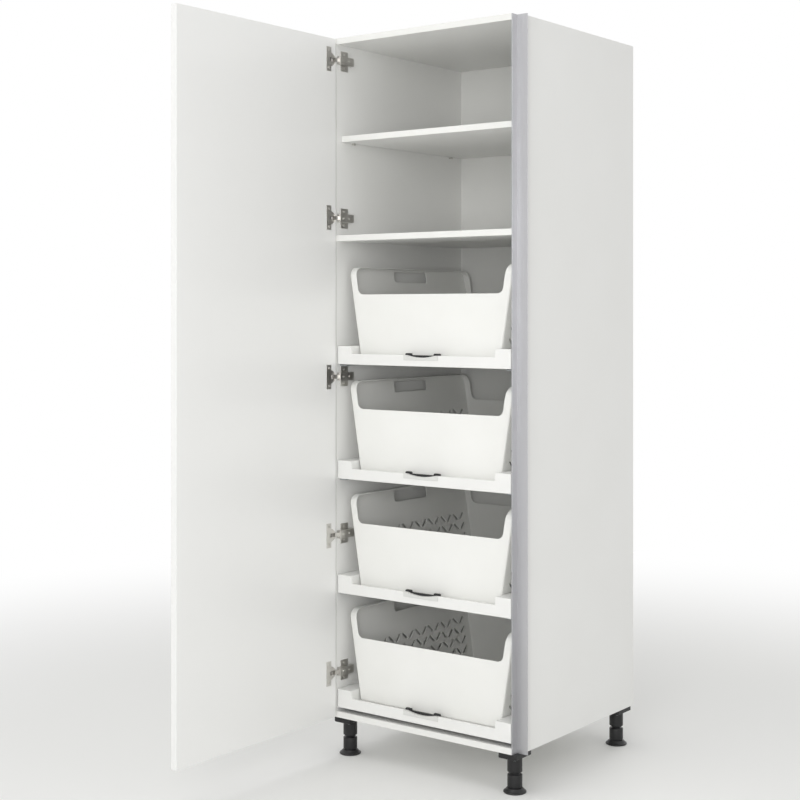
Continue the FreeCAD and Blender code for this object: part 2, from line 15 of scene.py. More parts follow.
import bmesh
import bpy
import numpy as np
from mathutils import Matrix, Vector
from mathutils.geometry import delaunay_2d_cdt


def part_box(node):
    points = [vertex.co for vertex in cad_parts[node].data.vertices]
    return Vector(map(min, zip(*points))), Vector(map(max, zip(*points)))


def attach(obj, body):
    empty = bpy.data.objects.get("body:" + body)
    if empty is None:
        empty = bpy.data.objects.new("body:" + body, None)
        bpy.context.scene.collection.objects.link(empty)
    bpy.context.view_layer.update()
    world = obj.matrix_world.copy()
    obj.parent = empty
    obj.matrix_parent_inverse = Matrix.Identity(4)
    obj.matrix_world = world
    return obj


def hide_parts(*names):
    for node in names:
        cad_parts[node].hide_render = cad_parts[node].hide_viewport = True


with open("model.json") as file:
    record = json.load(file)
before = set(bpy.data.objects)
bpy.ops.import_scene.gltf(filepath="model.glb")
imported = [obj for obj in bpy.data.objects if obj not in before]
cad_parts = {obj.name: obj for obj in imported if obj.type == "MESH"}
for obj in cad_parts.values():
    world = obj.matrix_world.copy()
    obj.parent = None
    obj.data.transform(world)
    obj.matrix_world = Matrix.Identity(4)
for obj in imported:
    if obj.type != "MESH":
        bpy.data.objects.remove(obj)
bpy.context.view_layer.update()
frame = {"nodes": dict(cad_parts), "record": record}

LOG = logging.getLogger("cabinet")
PULL_OUTS = (1, 2, 3, 4)
FEET = (1, 2, 3, 4)
BOTH_WAYS = (-1, 1)

MM = 0.001
MERGE = 1e-6
FLAT_ANGLE = math.radians(1.0)
SMOOTH_ANGLE = math.radians(35.0)
EASE_ANGLE = math.radians(50.0)
FULL_ANGLE = 2 * math.pi
QUARTER_ANGLE = math.pi / 2
GRAIN_DETAIL = 3.0
DRIFT_DETAIL = 2.0

Points = np.ndarray
Piece = bpy.types.Object
Place = tuple[float, float, float]


# Finishes


def linear(hex_colour: str) -> tuple[float, float, float, float]:
    """Linear colour of an sRGB hex value, by the sRGB curve.

    Args:
        hex_colour: the colour, as #RRGGBB.

    Returns:
        Red, green, blue and full alpha.
    """
    channels = np.array([int(hex_colour[i:i + 2], 16) for i in (1, 3, 5)]) / 255.0
    curved = ((channels + 0.055) / 1.055) ** 2.4
    red, green, blue = np.where(channels <= 0.04045, channels / 12.92, curved).tolist()
    return red, green, blue, 1.0


def add_node(tree: bpy.types.NodeTree, kind: str, inputs: dict[Any, Any] | None = None,
             **settings: Any) -> bpy.types.Node:
    """Adds one shader node.

    Args:
        tree: the material's or world's node tree.
        kind: the node's type.
        inputs: input name or number to a value, or to an output socket that is linked to it.
        settings: the node's own properties.

    Returns:
        The new node.
    """
    node = tree.nodes.new(kind)
    for name, value in settings.items():
        setattr(node, name, value)
    for name, value in (inputs or {}).items():
        if isinstance(value, bpy.types.NodeSocket):
            tree.links.new(value, node.inputs[name])
        else:
            node.inputs[name].default_value = value
    return node


class Lay(Enum):
    """How a finish's grain runs, as a scale of its pattern along X, Y and Z."""

    EVEN = (1.0, 1.0, 1.0)
    ALONG_X = (0.03, 1.0, 1.0)
    ALONG_Y = (1.0, 0.03, 1.0)
    ALONG_Z = (1.0, 1.0, 0.01)


@dataclass(frozen=True)
class Finish:
    """A real surface: its two tones, grain, gloss and relief.

    The tone drifts between colour and shade over mottle_mm. The grain of grain_mm moves the roughness
    between its two values and stands relief_mm high.
    """

    name: str
    slot: str
    colour: str
    shade: str
    grain_mm: float
    mottle_mm: float
    roughness: tuple[float, float]
    relief_mm: float
    lay: Lay = Lay.EVEN
    metallic: float = 0.0
    ior: float = 1.5
    coat: float = 0.0

    def material(self) -> bpy.types.Material:
        """Material of this finish, made once and then shared.

        Returns:
            The material.
        """
        known = bpy.data.materials.get(self.name)
        if known is not None:
            return known
        material = bpy.data.materials.new(self.name)
        material.use_nodes = True
        tree = material.node_tree
        tree.nodes.clear()
        place = add_node(tree, "ShaderNodeTexCoord").outputs["Object"]
        laid = add_node(tree, "ShaderNodeMapping", {"Vector": place, "Scale": self.lay.value})
        grain = add_node(tree, "ShaderNodeTexNoise",
                         {"Vector": laid.outputs[0], "Scale": 1 / (self.grain_mm * MM),
                          "Detail": GRAIN_DETAIL})
        drift = add_node(tree, "ShaderNodeTexNoise",
                         {"Vector": place, "Scale": 1 / (self.mottle_mm * MM), "Detail": DRIFT_DETAIL})
        # Inputs 6 and 7 of the mix are its two colours, and output 2 is the mixed one.
        tone = add_node(tree, "ShaderNodeMix",
                        {0: drift.outputs[0], 6: linear(self.colour), 7: linear(self.shade)},
                        data_type="RGBA")
        low, high = self.roughness
        gloss = add_node(tree, "ShaderNodeMapRange",
                         {"Value": grain.outputs[0], "To Min": low, "To Max": high})
        bump = add_node(tree, "ShaderNodeBump",
                        {"Height": grain.outputs[0], "Distance": self.relief_mm * MM})
        shader = add_node(tree, "ShaderNodeBsdfPrincipled",
                          {"Base Color": tone.outputs[2], "Roughness": gloss.outputs[0],
                           "Normal": bump.outputs[0], "Metallic": self.metallic, "IOR": self.ior,
                           "Coat Weight": self.coat})
        add_node(tree, "ShaderNodeOutputMaterial", {"Surface": shader.outputs[0]})
        return material


# A grain finer than about a millimetre wouldn't show in the render, so it is drawn about that coarse.

# Melamine paper pressed on chipboard: white, satin, with a fine pearl relief. The pearl is drawn three times
# coarser than its real 0.4 mm, so that it shows.
MELAMINE = Finish("white_melamine_board", "white_board", "#EEEEEC", "#E9E9E6",
                  grain_mm=1.2, mottle_mm=260.0, roughness=(0.38, 0.52), relief_mm=0.020)
# Lacquered fibreboard: a touch whiter and smoother, with the long soft waves of sprayed paint.
LACQUER = Finish("white_lacquered_front", "white_front", "#F1F1EF", "#EDEDEB",
                 grain_mm=4.0, mottle_mm=420.0, roughness=(0.26, 0.36), relief_mm=0.010, coat=0.15)
# Paper-coated fibreboard back: flatter white, matt.
COATED_BACK = Finish("white_coated_fibreboard", "white_back", "#EBEBE8", "#E5E5E2",
                     grain_mm=1.6, mottle_mm=200.0, roughness=(0.55, 0.68), relief_mm=0.015)
# Edging tape of ABS: a shade deeper than the board, scraped smooth along its length.
EDGING = Finish("white_abs_edging", "white_board", "#ECECE9", "#E7E7E3",
                grain_mm=1.5, mottle_mm=90.0, roughness=(0.34, 0.42), relief_mm=0.006)
# Extruded and anodised aluminium: fine lines along the extrusion, silk gloss.
ANODISED = Finish("grey_anodised_aluminium", "grip_grey", "#C2C2C4", "#BABABC",
                  grain_mm=0.9, mottle_mm=300.0, roughness=(0.34, 0.46), relief_mm=0.008,
                  lay=Lay.ALONG_Z, metallic=0.85)
# Pressed steel with bright nickel plate, slightly clouded by the tumbling.
NICKEL = Finish("nickel_plated_steel", "nickel_steel", "#D8D6D2", "#CAC8C4",
                grain_mm=1.1, mottle_mm=14.0, roughness=(0.26, 0.38), relief_mm=0.006, metallic=1.0)
# Roll-formed steel with zinc plate: bluish grey, lightly streaked along the roll.
ZINC = Finish("zinc_plated_steel", "zinc_steel", "#B9BCC0", "#A7ABB0",
              grain_mm=1.4, mottle_mm=22.0, roughness=(0.30, 0.46), relief_mm=0.008,
              lay=Lay.ALONG_Y, metallic=1.0)
# Injection-moulded ABS trays: satin white with a fine spark-eroded grain, drawn twice as coarse as its real
# 0.5 mm, so that it shows.
MOULDED_TRAY = Finish("white_moulded_abs", "white_tray", "#EDEDEB", "#E8E8E5",
                      grain_mm=1.0, mottle_mm=140.0, roughness=(0.40, 0.55), relief_mm=0.018)
# The catch plate's own ABS moulding, a shade greyer than the tray, so that its outline reads.
CATCH_PLATE = Finish("pale_grey_moulded_abs", "white_tray", "#DCDCD9", "#D6D6D3",
                     grain_mm=1.0, mottle_mm=60.0, roughness=(0.36, 0.48), relief_mm=0.014)
# Moulded polypropylene baskets: waxy white, softer gloss.
MOULDED_BASKET = Finish("white_moulded_polypropylene", "white_basket", "#F1F1EE", "#EBEBE7",
                        grain_mm=1.4, mottle_mm=110.0, roughness=(0.36, 0.50), relief_mm=0.014, ior=1.49)
# Black glass-filled nylon catch bars, matt and slightly grey on the grain; their black also paints the finger
# slot's shade.
BLACK_CATCH_AND_SLOT_SHADE = Finish("black_moulded_nylon", "black_catch", "#1B1B1C", "#232324",
                     grain_mm=0.9, mottle_mm=30.0, roughness=(0.42, 0.58), relief_mm=0.020)
# Black moulded polypropylene of the feet, with a satin skin.
BLACK_FOOT = Finish("black_moulded_polypropylene", "black_foot", "#111112", "#19191A",
                    grain_mm=1.0, mottle_mm=25.0, roughness=(0.36, 0.52), relief_mm=0.020, ior=1.49)
# Turned beech dowels: pink-brown with short darker flecks along the pin.
BEECH = Finish("turned_beech", "beech", "#C9A277", "#B78C60",
               grain_mm=1.2, mottle_mm=6.0, roughness=(0.50, 0.62), relief_mm=0.030, lay=Lay.ALONG_X)

FINISH_OF_SLOT = {finish.slot: finish for finish in (
    MELAMINE, LACQUER, COATED_BACK, ANODISED, NICKEL, ZINC, MOULDED_TRAY, MOULDED_BASKET, BLACK_CATCH_AND_SLOT_SHADE,
    BLACK_FOOT, BEECH)}


# Meshes


def new_piece(name: str, corners: Points, faces: Sequence[Sequence[int]]) -> Piece:
    """Object at the origin from corner points and faces.

    Args:
        name: the piece's name.
        corners: points, one row each.
        faces: corner numbers of each face.

    Returns:
        The linked object.
    """
    mesh = bpy.data.meshes.new(name)
    mesh.from_pydata(corners.tolist(), [], [list(face) for face in faces])
    piece = bpy.data.objects.new(name, mesh)
    bpy.context.scene.collection.objects.link(piece)
    return piece


def dress(piece: Piece, finish: Finish, body: str, *nodes: str) -> None:
    """Gives a piece its finish, smooth shading and body.

    Args:
        piece: the piece, in place.
        finish: its surface.
        body: the CAD body that it rides on.
        nodes: the CAD nodes that it stands for.
    """
    mesh = piece.data
    mesh.materials.clear()
    mesh.materials.append(finish.material())
    mesh.shade_smooth()
    mesh.set_sharp_from_angle(angle=SMOOTH_ANGLE)
    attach(piece, body)
    if nodes:
        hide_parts(*nodes)
    LOG.info("%s on %s: %d faces", piece.name, body, len(mesh.polygons))


def tidy_mesh(piece: Piece) -> None:
    """Merges doubled corners, at seams and poles, and turns all faces outwards.

    Args:
        piece: the piece whose mesh is changed.
    """
    shell = bmesh.new()
    shell.from_mesh(piece.data)
    bmesh.ops.remove_doubles(shell, verts=shell.verts, dist=MERGE)
    bmesh.ops.recalc_face_normals(shell, faces=shell.faces)
    shell.to_mesh(piece.data)
    shell.free()


def ease_edges(piece: Piece, radius_mm: float, segments: int = 2) -> None:
    """Rounds a piece's sharp edges with a bevel.

    Args:
        piece: the piece.
        radius_mm: how far the rounding reaches from the edge.
        segments: faces across each rounding.
    """
    bevel = piece.modifiers.new("eased_edges", "BEVEL")
    bevel.width = radius_mm * MM
    bevel.segments = segments
    bevel.limit_method = "ANGLE"
    bevel.angle_limit = EASE_ANGLE
    bevel.harden_normals = True


def mesh_corners(mesh: bpy.types.Mesh) -> Points:
    """Corner points of a mesh.

    Args:
        mesh: the mesh.

    Returns:
        The points, one row each.
    """
    corners = np.empty(len(mesh.vertices) * 3)
    mesh.vertices.foreach_get("co", corners)
    return corners.reshape(-1, 3)


def node_triangles(node: str) -> tuple[Points, Points]:
    """Corner points and triangles of a CAD node's mesh.

    Args:
        node: the CAD node.

    Returns:
        Points, and triangles as point numbers.
    """
    mesh = frame["nodes"][node].data
    numbers = np.empty(len(mesh.loops), dtype=np.int64)
    mesh.loops.foreach_get("vertex_index", numbers)
    return mesh_corners(mesh), numbers.reshape(-1, 3)


class Keep(Enum):
    """Which side of a cut across Y a copy keeps."""

    ALL = 0
    FRONT = 1
    REST = 2


def solid_copy(name: str, node: str, keep: Keep = Keep.ALL, cut_y: float = 0.0) -> Piece:
    """Copy of a node's solid with its triangles joined into flat faces.

    Args:
        name: the piece's name.
        node: the CAD node.
        keep: which side of the cut stays.
        cut_y: where the cut is.

    Returns:
        The piece, closed where it was cut.
    """
    piece = new_piece(name, *node_triangles(node))
    shell = bmesh.new()
    shell.from_mesh(piece.data)
    bmesh.ops.remove_doubles(shell, verts=shell.verts, dist=MERGE)
    bmesh.ops.dissolve_limit(shell, angle_limit=FLAT_ANGLE, verts=shell.verts, edges=shell.edges)
    if keep is not Keep.ALL:
        every = shell.verts[:] + shell.edges[:] + shell.faces[:]
        bmesh.ops.bisect_plane(shell, geom=every, plane_co=(0, cut_y, 0), plane_no=(0, 1, 0),
                               clear_outer=keep is Keep.FRONT, clear_inner=keep is Keep.REST)
        rim = [edge for edge in shell.edges if edge.is_boundary]
        bmesh.ops.holes_fill(shell, edges=rim, sides=0)
        bmesh.ops.recalc_face_normals(shell, faces=shell.faces)
    shell.to_mesh(piece.data)
    shell.free()
    return piece


def stacked_boxes(node: str, gap: float) -> list[tuple[Vector, Vector]]:
    """Boxes of a node's solids that stand above each other.

    Args:
        node: the CAD node.
        gap: the least height between two solids.

    Returns:
        Lowest and highest corner of each solid, from the lowest solid up.
    """
    corners, _ = node_triangles(node)
    corners = corners[np.argsort(corners[:, 2])]
    breaks = np.nonzero(np.diff(corners[:, 2]) > gap)[0] + 1
    return [(Vector(part.min(0)), Vector(part.max(0))) for part in np.split(corners, breaks)]


def grid_faces(rows: int, columns: int, closed: bool = False) -> Points:
    """Quads over a grid of points that are numbered row after row.

    Args:
        rows: rows of points.
        columns: points in each row.
        closed: whether each row closes on itself.

    Returns:
        Point numbers of each quad.
    """
    spans = columns if closed else columns - 1
    row, column = np.meshgrid(np.arange(rows - 1), np.arange(spans), indexing="ij")
    here, after = row * columns, (column + 1) % columns
    quads = [here + column, here + after, here + columns + after, here + columns + column]
    return np.stack([quad.ravel() for quad in quads], axis=1)


def lofted(name: str, rings: Points) -> Piece:
    """Closed skin over a stack of rings, with a flat cap at each end.

    Args:
        name: the piece's name.
        rings: points by ring, place in the ring, and coordinate.

    Returns:
        The piece.
    """
    count, around, _ = rings.shape
    faces = grid_faces(count, around, True).tolist()
    faces += [list(range(around)), list(range((count - 1) * around, count * around))]
    piece = new_piece(name, rings.reshape(-1, 3), faces)
    tidy_mesh(piece)
    return piece


def arc(centre: tuple[float, float], radius: float, start: float, end: float, steps: int) -> Points:
    """Points on a circle's arc, evenly from a start to an end angle in degrees."""
    turn = np.radians(np.linspace(start, end, steps + 1))
    return np.stack([centre[0] + radius * np.cos(turn), centre[1] + radius * np.sin(turn)], axis=1)


def rounded_rectangle(half_x: float, half_y: float, radius: float, steps: int = 6) -> Points:
    """Outline of a rectangle about the origin, with a quarter circle at each corner.

    Args:
        half_x: half its width.
        half_y: half its depth.
        radius: radius of its corners.
        steps: edges along each corner.

    Returns:
        The closed outline, counter-clockwise.
    """
    x, y = half_x - radius, half_y - radius
    corners = [((x, y), 0), ((-x, y), 90), ((-x, -y), 180), ((x, -y), 270)]
    return np.concatenate([arc(centre, radius, start, start + 90, steps) for centre, start in corners])


def turned(name: str, outline: Points, centre: tuple[float, float], around: int = 48) -> Piece:
    """Outline of radius and height turned about an upright axis, with flat ends.

    Args:
        name: the piece's name.
        outline: radius and height of each point, from the lower end to the upper one.
        centre: place of the axis.
        around: points in each ring.

    Returns:
        The piece.
    """
    turn = np.linspace(0, FULL_ANGLE, around, endpoint=False)
    radius, height = outline[:, :1], outline[:, 1:]
    x = centre[0] + radius * np.cos(turn)
    y = centre[1] + radius * np.sin(turn)
    return lofted(name, np.stack([x, y, np.broadcast_to(height, x.shape)], axis=2))


class Facing(Enum):
    """Which way a screw's head looks, as its two cross directions and its axis."""

    RIGHT = ((0, 1, 0), (0, 0, 1), (1, 0, 0))
    LEFT = ((0, 0, 1), (0, 1, 0), (-1, 0, 0))
    DOWN = ((0, 1, 0), (1, 0, 0), (0, 0, -1))


@dataclass(frozen=True)
class ScrewHead:
    """A domed head with a cross recess, as a height over radius and angle.

    The dome falls with the square of the radius. The recess takes away a depth where the point lies inside
    one of two crossed bars. The bars' shares are of the radius, and depth_share and dome_fall of the height.
    """

    radius_mm: float
    height_mm: float
    rings: int = 9
    around: int = 32
    bar_share: float = 0.16
    reach_share: float = 0.62
    depth_share: float = 0.75
    dome_fall: float = 0.45

    def shape(self) -> Points:
        """One head with its seat at height zero.

        Returns:
            Points by ring and angle: the domed top from the middle out, then the seat back to the middle.
        """
        share = np.linspace(0.0, 1.0, self.rings)[:, None]
        turn = np.linspace(0, FULL_ANGLE, self.around, endpoint=False)[None, :]
        x, y = share * np.cos(turn), share * np.sin(turn)
        bar = np.minimum(np.abs(x), np.abs(y)) < self.bar_share
        recess = bar & (np.maximum(np.abs(x), np.abs(y)) < self.reach_share)
        dome = 1.0 - self.dome_fall * share ** 2 * np.ones_like(turn)
        height = np.where(recess, dome - self.depth_share, dome)
        top = np.stack([x, y, height], axis=2)
        seat = top[[-1, 0]] * np.array([1.0, 1.0, 0.0])
        return np.concatenate([top, seat]) * np.array([self.radius_mm, self.radius_mm, self.height_mm]) * MM

    def group(self, name: str, places: Points, facing: Facing) -> Piece:
        """One piece with a head at each place.

        Args:
            name: the piece's name.
            places: seat points, one row each.
            facing: which way the heads look.

        Returns:
            The piece.
        """
        rings = self.shape()
        basis = np.array(facing.value, dtype=float)
        corners = rings.reshape(-1, 3) @ basis
        every = places[:, None, :] + corners[None]
        faces = grid_faces(len(rings), self.around, True)
        shift = (np.arange(len(places)) * len(corners))[:, None, None]
        piece = new_piece(name, every.reshape(-1, 3), (faces[None] + shift).reshape(-1, 4))
        tidy_mesh(piece)
        return piece


# Carcass


@dataclass
class Carcass:
    """Boards with their edging tape, and the back panel."""

    body: str = "carcass"
    edging_mm: float = 1.0
    ease_mm: float = 0.35
    back_ease_mm: float = 0.8
    back_gap_mm: float = 1.2
    edged: tuple[str, ...] = (
        "left_side_panel", "bottom_panel", "fixed_shelf", "top_panel", "adjustable_shelf")

    def board(self, node: str) -> None:
        """Board behind its edging tape: the front slice of the solid is the tape.

        Args:
            node: the board's CAD node.
        """
        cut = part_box(node)[0].y + self.edging_mm * MM
        core = solid_copy(node + "_core", node, Keep.REST, cut)
        tape = solid_copy(node + "_edging", node, Keep.FRONT, cut)
        for piece, finish in ((core, MELAMINE), (tape, EDGING)):
            ease_edges(piece, self.ease_mm)
            dress(piece, finish, self.body, node)

    def back(self) -> None:
        """Back panel, drawn in by a narrow gap from the rebate of each side panel."""
        sheet = solid_copy("back_sheet", "back_panel")
        low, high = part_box("back_panel")
        gap = self.back_gap_mm * MM
        corners = mesh_corners(sheet.data)
        corners[:, 0] = np.clip(corners[:, 0], low.x + gap, high.x - gap)
        sheet.data.vertices.foreach_set("co", corners.ravel())
        ease_edges(sheet, self.back_ease_mm)
        dress(sheet, COATED_BACK, self.body, "back_panel")

    def build(self) -> None:
        """All boards and the back."""
        for node in self.edged:
            self.board(node)
        side = solid_copy("right_side_core", "right_side_panel")
        ease_edges(side, self.ease_mm)
        dress(side, MELAMINE, self.body, "right_side_panel")
        self.back()


@dataclass
class GripStrip:
    """Extruded angle that lines the finger recess: an outline in X and Y carried up the cabinet."""

    node: str = "grip_profile"
    body: str = "carcass"
    sheet_mm: float = 2.0
    ease_mm: float = 0.5
    groove_mm: float = 0.35
    groove_pitch_mm: float = 4.0
    grooves: int = 5

    def outline(self) -> Points:
        """Angle with fine lengthwise grooves in the face of its wide leg.

        Each groove is a vee as deep as half its width, and the grooves stand evenly about the leg's middle.

        Returns:
            The closed outline, in X and Y.
        """
        low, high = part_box(self.node)
        sheet, groove, pitch = self.sheet_mm * MM, self.groove_mm * MM, self.groove_pitch_mm * MM
        face_y = high.y - sheet
        middle = (low.x + sheet + high.x) / 2
        centres = middle + (np.arange(self.grooves) - (self.grooves - 1) / 2) * pitch
        vee_x = centres[:, None] + np.array([-groove, 0.0, groove])
        vee_y = np.broadcast_to(face_y + np.array([0.0, groove, 0.0]), vee_x.shape)
        vees = np.stack([vee_x.ravel(), vee_y.ravel()], axis=1)
        before = [(low.x, low.y), (low.x + sheet, low.y), (low.x + sheet, face_y)]
        after = [(high.x, face_y), (high.x, high.y), (low.x, high.y)]
        return np.concatenate([np.array(before), vees, np.array(after)])

    def build(self) -> None:
        """The strip, as high as the carcass."""
        low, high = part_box(self.node)
        outline = self.outline()
        rings = np.stack([np.column_stack([outline, np.full(len(outline), z)]) for z in (low.z, high.z)])
        strip = lofted("grip_strip", rings)
        ease_edges(strip, self.ease_mm)
        dress(strip, ANODISED, self.body, self.node)


# Door and hinges


@dataclass
class Door:
    """Lacquered door and the five hinges that carry it, with their screws."""

    body: str = "door"
    frame_body: str = "carcass"
    ease_mm: float = 1.2
    ease_segments: int = 3
    metal_ease_mm: float = 0.3
    arm_ease_mm: float = 0.6
    hinge_gap: float = 0.1
    flange_screw_in_mm: float = 9.5
    flange_screw_half_mm: float = 24.0
    plate_screw_in_mm: float = 27.5
    plate_screw_half_mm: float = 19.0
    arm_screw_mm: tuple[float, ...] = (20.0, 44.0)
    screw: ScrewHead = ScrewHead(3.6, 1.3)
    arm_screw: ScrewHead = ScrewHead(3.2, 0.9)

    def screw_places(self, node: str, in_mm: float, half_mm: float) -> Points:
        """Two screw seats on the inner face of each fitting, above and below its middle.

        Args:
            node: the fittings' CAD node.
            in_mm: how far the screws stand from the fitting's front.
            half_mm: how far they stand above and below its middle.

        Returns:
            The seats, one row each.
        """
        places = []
        for low, high in stacked_boxes(node, self.hinge_gap):
            middle = (low.z + high.z) / 2
            places += [(high.x, low.y + in_mm * MM, middle + way * half_mm * MM) for way in BOTH_WAYS]
        return np.array(places)

    def arm_places(self) -> Points:
        """Adjusting screws along each hinge arm.

        Returns:
            The seats, one row each.
        """
        places = []
        for low, high in stacked_boxes("hinge_arms", self.hinge_gap):
            middle = (low.z + high.z) / 2
            places += [(high.x, high.y - along * MM, middle) for along in self.arm_screw_mm]
        return np.array(places)

    def build(self) -> None:
        """Door slab, hinge fittings and screws."""
        slab = solid_copy("door_slab", "door_panel")
        ease_edges(slab, self.ease_mm, self.ease_segments)
        dress(slab, LACQUER, self.body, "door_panel")
        for node, body, ease in (("hinge_cups", self.body, self.metal_ease_mm),
                                 ("hinge_arms", self.frame_body, self.arm_ease_mm),
                                 ("hinge_plates", self.frame_body, self.metal_ease_mm)):
            fitting = solid_copy(node + "_pressed", node)
            ease_edges(fitting, ease)
            dress(fitting, NICKEL, body, node)
        cups = self.screw_places("hinge_cups", self.flange_screw_in_mm, self.flange_screw_half_mm)
        plates = self.screw_places("hinge_plates", self.plate_screw_in_mm, self.plate_screw_half_mm)
        for name, screw, places, body in (
                ("hinge_cup_screws", self.screw, cups, self.body),
                ("hinge_plate_screws", self.screw, plates, self.frame_body),
                ("hinge_arm_screws", self.arm_screw, self.arm_places(), self.frame_body)):
            dress(screw.group(name, places, Facing.RIGHT), NICKEL, body)


# Pull-outs


def inside(points: Points, loop: Points) -> Points:
    """Which points lie inside a closed loop, by counting how often a ray from the point crosses it.

    Args:
        points: flat points, one row each.
        loop: the loop's corners in order.

    Returns:
        One truth value for each point.
    """
    start, end = loop, np.roll(loop, -1, axis=0)
    x, y = points[:, :1], points[:, 1:]
    spans = (start[:, 1] > y) != (end[:, 1] > y)
    rise = end[:, 1] - start[:, 1]
    slant = (end[:, 0] - start[:, 0]) / np.where(rise == 0, 1.0, rise)
    crossings = spans & (x < start[:, 0] + (y - start[:, 1]) * slant)
    return crossings.sum(axis=1) % 2 == 1


def filled(outline: Points, holes: Sequence[Points], lines: Sequence[Points]) -> tuple[Points, Points]:
    """Triangles that fill a flat outline around its holes.

    Args:
        outline: closed outline.
        holes: closed outlines that stay open.
        lines: open lines that triangles may not cross.

    Returns:
        Flat points, and triangles as point numbers.
    """
    loops = [outline, *holes]
    points = np.concatenate(loops + list(lines))
    edges: list[tuple[int, int]] = []
    first = 0
    for chain in loops + list(lines):
        numbers = np.arange(first, first + len(chain))
        edges += zip(numbers[:-1].tolist(), numbers[1:].tolist())
        first += len(chain)
    first = 0
    for loop in loops:
        edges.append((first + len(loop) - 1, first))
        first += len(loop)
    found = delaunay_2d_cdt(points.tolist(), edges, [], 0, MERGE)
    flat, triangles = np.array(found[0]), np.array(found[2])
    middles = flat[triangles].mean(axis=1)
    kept = inside(middles, outline)
    for hole in holes:
        kept &= ~inside(middles, hole)
    return flat, triangles[kept]


@dataclass
class LaundryBasket:
    """Moulded basket: a strip with cut-outs wrapped round a tapered box, and a turned-in rim on each side.

    Along the strip runs the way round the basket, up the strip the height above its round lower edge. Each
    rim runs up a front corner, back along the top of the side wall and down the back corner.
    """

    number: int
    slope: float = 0.167
    wall_mm: float = 2.5
    corner_mm: float = 5.0
    foot_round_mm: float = 4.5
    shoulder_mm: float = 28.0
    rim_mm: float = 22.0
    cut_round_mm: float = 18.0
    low_rim_mm: float = 169.7
    handle_l_mm: float = 154.0
    handle_h_mm: float = 30.0
    handle_round_mm: float = 7.0
    handle_below_mm: float = 10.0
    slot_rows: int = 4
    slots: int = 16
    slot_pitch_mm: float = 31.0
    slot_row_mm: float = 29.0
    slot_first_mm: float = 45.0
    slot_l_mm: float = 27.0
    slot_w_mm: float = 6.0
    slot_lean: float = 42.0
    edge_ease_mm: float = 0.7
    corner_steps: int = 6
    shoulder_steps: int = 10
    ear_steps: int = 4
    foot_steps: int = 5
    slot_steps: int = 4

    def __post_init__(self) -> None:
        """Takes the basket's place and size from its solid, and marks the corners along the strip."""
        self.node = "basket_%d" % self.number
        low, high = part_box(self.node)
        self.base_z = low.z
        self.height = high.z - low.z
        self.middle_y = (low.y + high.y) / 2
        self.half_y = (high.y - low.y) / 2
        self.top_half_x = high.x
        self.corner = self.corner_mm * MM
        self.turn_in = self.foot_round_mm * MM
        self.shoulder = self.shoulder_mm * MM
        self.ear_top = self.height - self.shoulder
        self.half_end = float(self.half_x(0.0)) - self.corner
        self.bend = QUARTER_ANGLE * self.corner
        side = 2 * (self.half_y - self.corner)
        half = [self.half_end, self.bend, side, self.bend, self.half_end]
        runs = half[:-1] + [2 * self.half_end] + half[1:]
        self.marks = np.concatenate([[0.0], np.cumsum(runs)])

    def half_x(self, height: Points | float) -> Points | float:
        """Outer half width at a height above the base, which grows evenly upwards."""
        return self.top_half_x - self.slope * (self.height - height)

    def side_middles(self) -> tuple[float, float]:
        """Way round at the middle of the right and the left side wall."""
        right_start, right_end, left_start, left_end = self.marks[[2, 3, 6, 7]]
        return (right_start + right_end) / 2, (left_start + left_end) / 2

    def wrap(self, flat: Points) -> Points:
        """Points in space for points of the strip.

        The way round is a rectangle with round corners: a centre goes from corner to corner with one radius
        beside it, and at each corner only the radius turns. Below height zero the strip turns in along a
        quarter circle.

        Args:
            flat: way round and height of each point.

        Returns:
            The points.
        """
        way, up = flat[:, 0], flat[:, 1]
        roll = np.clip(-up / self.turn_in, 0.0, QUARTER_ANGLE)
        height = np.where(up >= 0, up + self.turn_in, self.turn_in * (1 - np.sin(roll)))
        radius = self.corner - self.turn_in * (1 - np.cos(roll))
        # Values at the marks, from the back wall's middle by the right side, the front and the left side.
        across = np.interp(way, self.marks, [0, 1, 1, 1, 1, -1, -1, -1, -1, 0])
        along = np.interp(way, self.marks, [1, 1, 1, -1, -1, -1, -1, 1, 1, 1])
        turn = np.radians(np.interp(way, self.marks, [90, 90, 0, 0, -90, -90, -180, -180, -270, -270]))
        x = across * (self.half_x(height) - self.corner) + radius * np.cos(turn)
        y = along * (self.half_y - self.corner) + radius * np.sin(turn)
        return np.stack([x, y + self.middle_y, height + self.base_z], axis=1)

    def upper_edge(self) -> Points:
        """The strip's upper edge: low over the end walls, up the ears and round under the rim at the sides.

        A quarter of it is worked out, from the middle of an end wall to the middle of a side wall. Mirrored
        twice, it goes all the way round.

        Returns:
            Way round and height of each point.
        """
        low, soft = self.low_rim_mm * MM, self.cut_round_mm * MM
        rise = np.linspace(low + soft, self.ear_top, self.ear_steps + 1)
        edge = self.half_x(rise) - self.rim_mm * MM
        foot = arc((edge[0] - soft, low + soft), soft, 270, 360, self.corner_steps)
        cut_x, cut_z = np.concatenate([foot[:, 0], edge[1:]]), np.concatenate([foot[:, 1], rise[1:]])
        cut = np.stack([cut_x * self.half_end / (self.half_x(cut_z) - self.corner), cut_z], axis=1)
        bend_way = self.half_end + np.linspace(0.0, self.bend, self.corner_steps + 1)
        bend = np.stack([bend_way, np.full(len(bend_way), self.ear_top)], axis=1)
        middle = (self.marks[2] + self.shoulder - self.corner, self.ear_top)
        side = arc(middle, self.shoulder - self.corner, 180, 90, self.shoulder_steps)[1:]
        quarter = np.concatenate([cut, bend, side]) - np.array([0.0, self.turn_in])
        mirrored = quarter[::-1] * np.array([-1, 1]) + np.array([self.marks[2] + self.marks[3], 0])
        half = np.concatenate([quarter, mirrored])
        other = half[::-1] * np.array([-1, 1]) + np.array([self.marks[-1], 0])
        low_line = low - self.turn_in
        return np.concatenate([[[0.0, low_line]], half, other, [[self.marks[-1], low_line]]])

